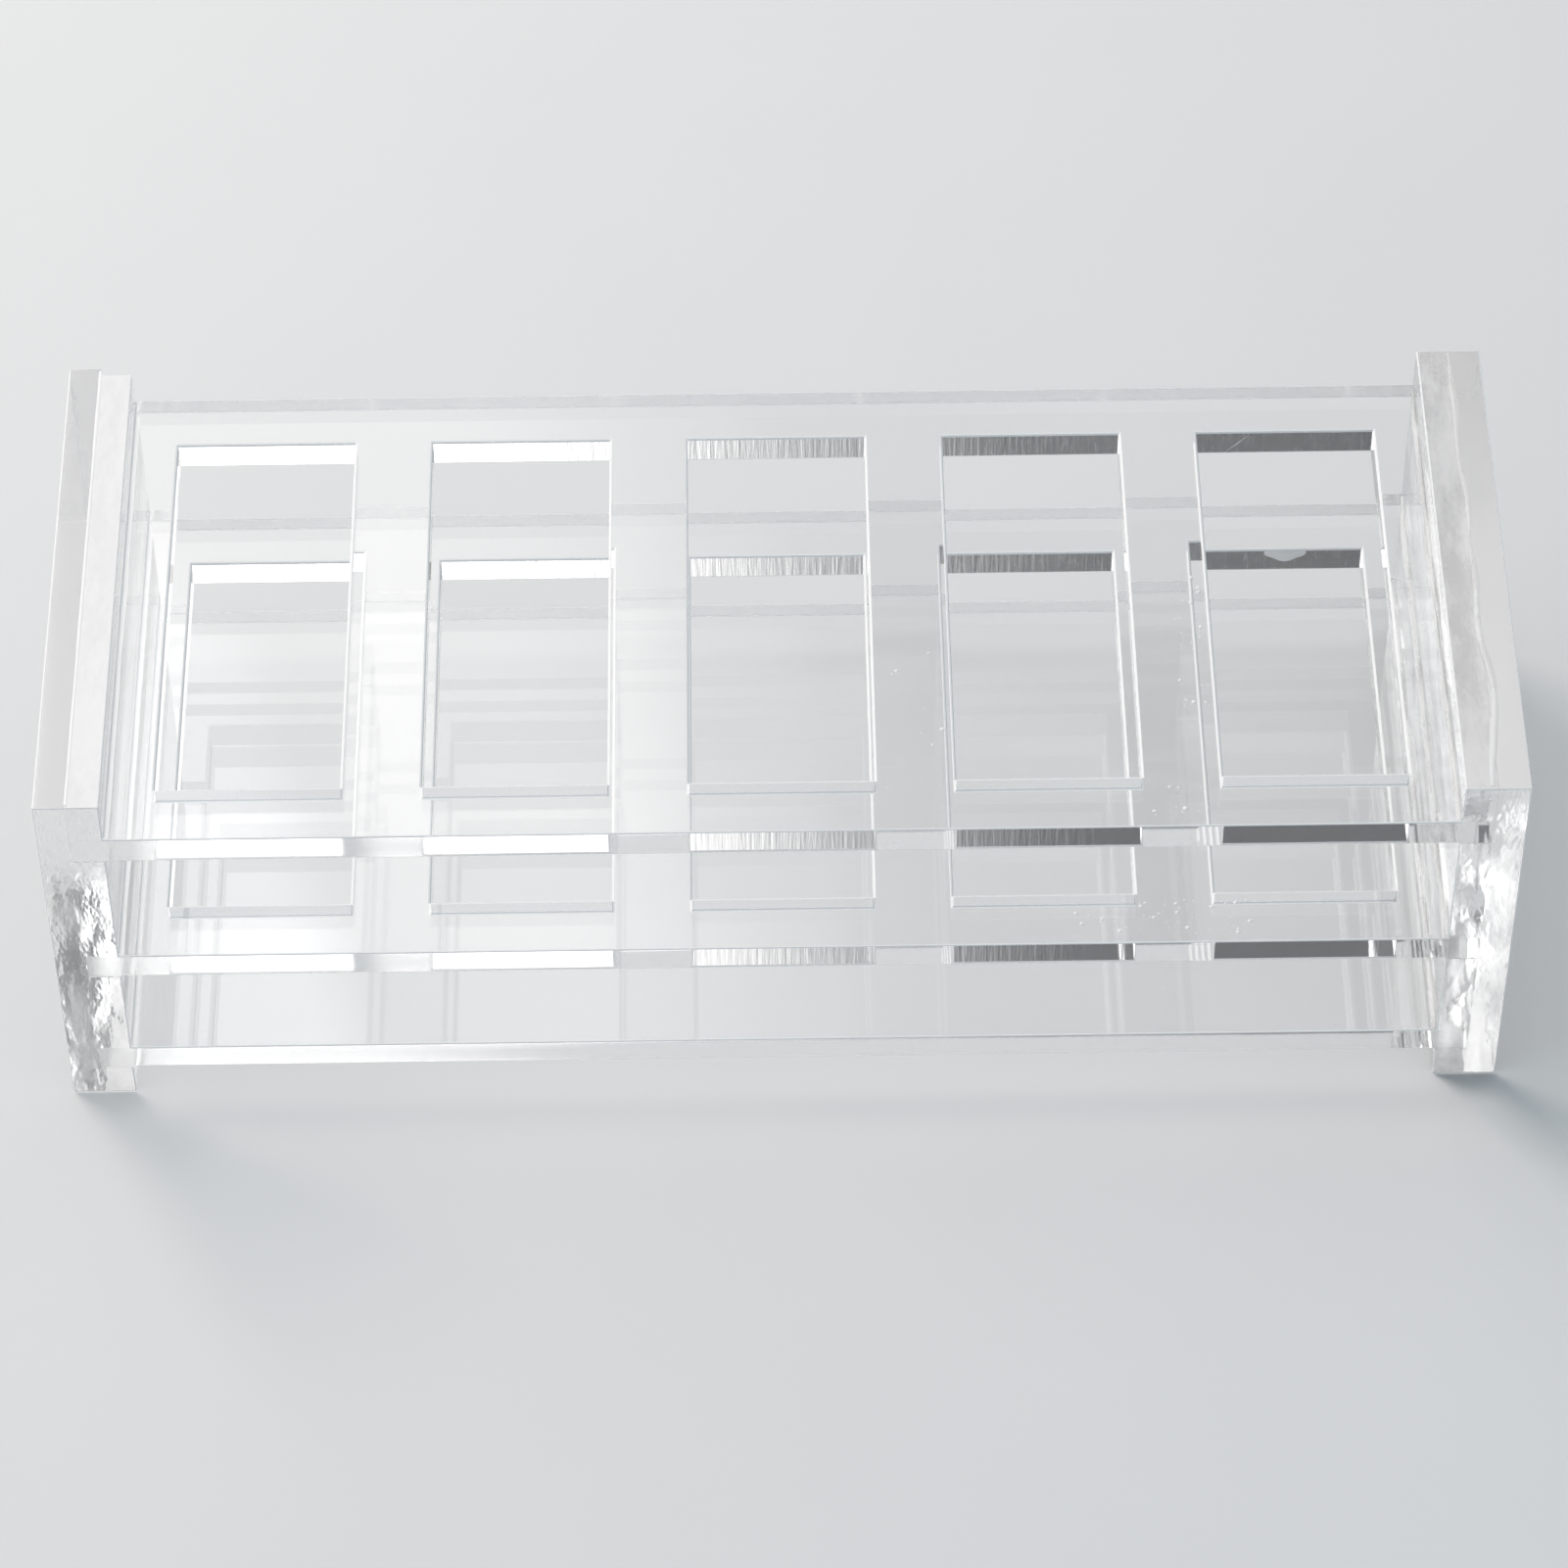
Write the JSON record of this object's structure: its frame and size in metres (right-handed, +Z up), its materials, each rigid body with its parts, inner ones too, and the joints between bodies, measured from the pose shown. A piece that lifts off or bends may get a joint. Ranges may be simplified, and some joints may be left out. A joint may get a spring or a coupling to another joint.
{
  "type": "chip rack",
  "caption": "Clear acrylic rack with two slotted shelves over a plain base shelf, held between double-layer end panels, for flat slide-format chips.",
  "frame": {"origin": "on the bench under the centre of the rack, at the height of the feet", "axes": "+X along the rack, front edges face -Y, +Z up"},
  "size_m": [0.224, 0.092, 0.0685],
  "materials": {
    "shelf_acrylic": "clear cast acrylic with polished faces and machined slot walls",
    "end_acrylic": "clear cast acrylic with polished faces and saw-cut edges",
    "strip_acrylic": "clear cast acrylic with faintly frosted cut edges"
  },
  "bodies": {
    "root": {"left_end_panel": "end_acrylic", "right_end_panel": "end_acrylic", "base_shelf": "shelf_acrylic", "middle_shelf": "shelf_acrylic", "top_shelf": "shelf_acrylic", "left_foot_strip": "strip_acrylic", "right_foot_strip": "strip_acrylic", "left_lower_spacer": "strip_acrylic", "right_lower_spacer": "strip_acrylic", "left_upper_spacer": "strip_acrylic", "right_upper_spacer": "strip_acrylic", "left_rim_strip": "strip_acrylic", "right_rim_strip": "strip_acrylic"}
  },
  "joints": []
}
